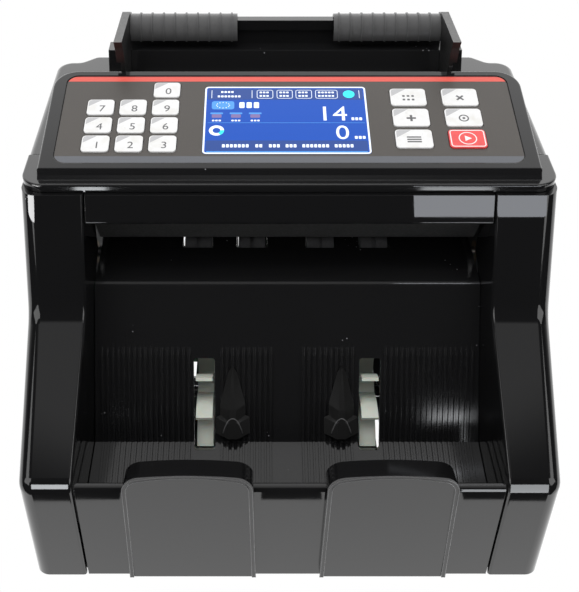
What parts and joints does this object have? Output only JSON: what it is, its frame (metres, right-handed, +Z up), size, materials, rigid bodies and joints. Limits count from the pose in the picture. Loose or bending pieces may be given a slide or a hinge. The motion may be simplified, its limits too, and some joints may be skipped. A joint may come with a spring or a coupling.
{
  "type": "banknote counting machine",
  "caption": "Desktop banknote counter: top hopper with sliding note guides, tilted key and display console, roller feed, stacking wheels and an open front stacker pocket.",
  "frame": {"origin": "on the table, under the middle of the machine's bounding box", "axes": "+X to the operator's right, -Y towards the operator, +Z up"},
  "size_m": [0.253, 0.23, 0.2105],
  "materials": {
    "gloss_black": "polished black ABS",
    "tray_black": "semi-gloss black ABS",
    "console_grey": "satin black ABS",
    "overlay_print": "fine matt polycarbonate film",
    "lcd_blue": "clear window over a blue display",
    "key_white": "smooth white keycap",
    "key_red": "smooth red keycap",
    "steel": "zinc-plated sheet",
    "coated_steel": "black powder-coated sheet",
    "turned_steel": "ground bar",
    "roller_rubber": "soft drive rubber",
    "wheel_clear": "milky elastomer",
    "bearing_bronze": "sintered bronze",
    "board_green": "solder-masked board",
    "belt_rubber": "moulded belt",
    "white_nylon": "natural nylon",
    "retard_rubber": "brown friction rubber",
    "inner_plastic": "unpolished black ABS",
    "foot_rubber": "black rubber",
    "screw_steel": "plated screws"
  },
  "bodies": {
    "chassis": {"base_tray": "inner_plastic", "left_side_cover": "gloss_black", "right_side_cover": "gloss_black", "rear_housing": "tray_black", "console_housing": "console_grey", "front_fascia": "gloss_black", "control_overlay": "overlay_print", "lcd_window": "lcd_blue", "lcd_module": "inner_plastic", "keypad_board": "board_green", "stacker_tray": "tray_black", "stacker_front_plate": "gloss_black", "stop_paddle_left": "gloss_black", "stop_paddle_right": "gloss_black", "note_fin_left": "tray_black", "note_fin_right": "tray_black", "left_frame_plate": "coated_steel", "right_frame_plate": "coated_steel", "shaft_bearings": "bearing_bronze", "frame_crossbars": "turned_steel", "hopper_back_plate": "tray_black", "retard_holder": "inner_plastic", "retard_pads": "retard_rubber", "upper_note_guide": "inner_plastic", "drive_motor": "steel", "drive_belts": "belt_rubber", "main_board": "board_green", "power_inlet": "inner_plastic", "rubber_feet": "foot_rubber", "case_screws": "screw_steel"},
    "left_guide": {"guide_left": "tray_black"},
    "right_guide": {"guide_right": "tray_black"},
    "pinion": {"guide_pinion": "white_nylon"},
    "motor_shaft": {"motor_pulley": "turned_steel"},
    "feed_unit": {"feed_shaft": "turned_steel", "feed_rollers": "roller_rubber"},
    "pickup_unit": {"pickup_shaft": "turned_steel", "pickup_rollers": "roller_rubber"},
    "transport_unit": {"transport_shaft": "turned_steel", "transport_rollers": "roller_rubber"},
    "stacking_unit": {"stacking_shaft": "turned_steel", "stacking_wheel_left": "wheel_clear", "stacking_wheel_right": "wheel_clear"},
    "rocker": {"power_rocker": "inner_plastic"},
    "key_0_cap": {"key_0": "key_white"},
    "key_1_cap": {"key_1": "key_white"},
    "key_2_cap": {"key_2": "key_white"},
    "key_3_cap": {"key_3": "key_white"},
    "key_4_cap": {"key_4": "key_white"},
    "key_5_cap": {"key_5": "key_white"},
    "key_6_cap": {"key_6": "key_white"},
    "key_7_cap": {"key_7": "key_white"},
    "key_8_cap": {"key_8": "key_white"},
    "key_9_cap": {"key_9": "key_white"},
    "key_mode_cap": {"key_mode": "key_white"},
    "key_start_cap": {"key_start": "key_red"},
    "key_add_cap": {"key_add": "key_white"},
    "key_batch_cap": {"key_batch": "key_white"},
    "key_menu_cap": {"key_menu": "key_white"},
    "key_clear_cap": {"key_clear": "key_white"}
  },
  "joints": [
    {"name": "left_guide_slide", "type": "slide", "parent": "chassis", "child": "left_guide", "axis": [1, 0, 0], "range_m": [-0.01, 0.018]},
    {"name": "right_guide_slide", "type": "slide", "parent": "chassis", "child": "right_guide", "axis": [1, 0, 0], "range_m": [-0.018, 0.01]},
    {"name": "guide_pinion_turn", "type": "hinge", "parent": "chassis", "child": "pinion", "pos_m": [0, 0.105, 0.168], "axis": [0, 0, 1], "range_deg": [-240, 136]},
    {"name": "feed_turn", "type": "hinge", "parent": "chassis", "child": "feed_unit", "pos_m": [0, 0.081, 0.134], "axis": [1, 0, 0], "continuous": true},
    {"name": "motor_turn", "type": "hinge", "parent": "chassis", "child": "motor_shaft", "pos_m": [0, 0.075, 0.044], "axis": [1, 0, 0], "continuous": true},
    {"name": "pickup_turn", "type": "hinge", "parent": "chassis", "child": "pickup_unit", "pos_m": [0, 0.0888, 0.16], "axis": [1, 0, 0], "continuous": true},
    {"name": "transport_turn", "type": "hinge", "parent": "chassis", "child": "transport_unit", "pos_m": [0, 0.017, 0.1107], "axis": [1, 0, 0], "continuous": true},
    {"name": "stacking_turn", "type": "hinge", "parent": "chassis", "child": "stacking_unit", "pos_m": [0, -0.0282, 0.0513], "axis": [1, 0, 0], "continuous": true},
    {"name": "key_0_press", "type": "slide", "parent": "chassis", "child": "key_0_cap", "axis": [0, 0.184, -0.9829], "range_m": [0, 0.0008], "stiffness_N_per_m": 600},
    {"name": "key_1_press", "type": "slide", "parent": "chassis", "child": "key_1_cap", "axis": [0, 0.184, -0.9829], "range_m": [0, 0.0008], "stiffness_N_per_m": 600},
    {"name": "key_2_press", "type": "slide", "parent": "chassis", "child": "key_2_cap", "axis": [0, 0.184, -0.9829], "range_m": [0, 0.0008], "stiffness_N_per_m": 600},
    {"name": "key_3_press", "type": "slide", "parent": "chassis", "child": "key_3_cap", "axis": [0, 0.184, -0.9829], "range_m": [0, 0.0008], "stiffness_N_per_m": 600},
    {"name": "key_4_press", "type": "slide", "parent": "chassis", "child": "key_4_cap", "axis": [0, 0.184, -0.9829], "range_m": [0, 0.0008], "stiffness_N_per_m": 600},
    {"name": "key_5_press", "type": "slide", "parent": "chassis", "child": "key_5_cap", "axis": [0, 0.184, -0.9829], "range_m": [0, 0.0008], "stiffness_N_per_m": 600},
    {"name": "key_6_press", "type": "slide", "parent": "chassis", "child": "key_6_cap", "axis": [0, 0.184, -0.9829], "range_m": [0, 0.0008], "stiffness_N_per_m": 600},
    {"name": "key_7_press", "type": "slide", "parent": "chassis", "child": "key_7_cap", "axis": [0, 0.184, -0.9829], "range_m": [0, 0.0008], "stiffness_N_per_m": 600},
    {"name": "key_8_press", "type": "slide", "parent": "chassis", "child": "key_8_cap", "axis": [0, 0.184, -0.9829], "range_m": [0, 0.0008], "stiffness_N_per_m": 600},
    {"name": "key_9_press", "type": "slide", "parent": "chassis", "child": "key_9_cap", "axis": [0, 0.184, -0.9829], "range_m": [0, 0.0008], "stiffness_N_per_m": 600},
    {"name": "key_mode_press", "type": "slide", "parent": "chassis", "child": "key_mode_cap", "axis": [0, 0.184, -0.9829], "range_m": [0, 0.0008], "stiffness_N_per_m": 600},
    {"name": "key_start_press", "type": "slide", "parent": "chassis", "child": "key_start_cap", "axis": [0, 0.184, -0.9829], "range_m": [0, 0.0008], "stiffness_N_per_m": 600},
    {"name": "key_add_press", "type": "slide", "parent": "chassis", "child": "key_add_cap", "axis": [0, 0.184, -0.9829], "range_m": [0, 0.0008], "stiffness_N_per_m": 600},
    {"name": "key_batch_press", "type": "slide", "parent": "chassis", "child": "key_batch_cap", "axis": [0, 0.184, -0.9829], "range_m": [0, 0.0008], "stiffness_N_per_m": 600},
    {"name": "key_menu_press", "type": "slide", "parent": "chassis", "child": "key_menu_cap", "axis": [0, 0.184, -0.9829], "range_m": [0, 0.0008], "stiffness_N_per_m": 600},
    {"name": "key_clear_press", "type": "slide", "parent": "chassis", "child": "key_clear_cap", "axis": [0, 0.184, -0.9829], "range_m": [0, 0.0008], "stiffness_N_per_m": 600},
    {"name": "power_rocker_tilt", "type": "hinge", "parent": "chassis", "child": "rocker", "pos_m": [0.086, 0.109, 0.032], "axis": [1, 0, 0], "range_deg": [0, 14]}
  ],
  "couplings": [
    {"joint": "right_guide_slide", "follows": "left_guide_slide", "ratio": -1},
    {"joint": "guide_pinion_turn", "follows": "left_guide_slide", "rad_per_m": -222.22},
    {"joint": "motor_turn", "follows": "feed_turn", "ratio": 2},
    {"joint": "pickup_turn", "follows": "feed_turn", "ratio": 1},
    {"joint": "transport_turn", "follows": "feed_turn", "ratio": 1.25},
    {"joint": "stacking_turn", "follows": "feed_turn", "ratio": 0.66667}
  ]
}
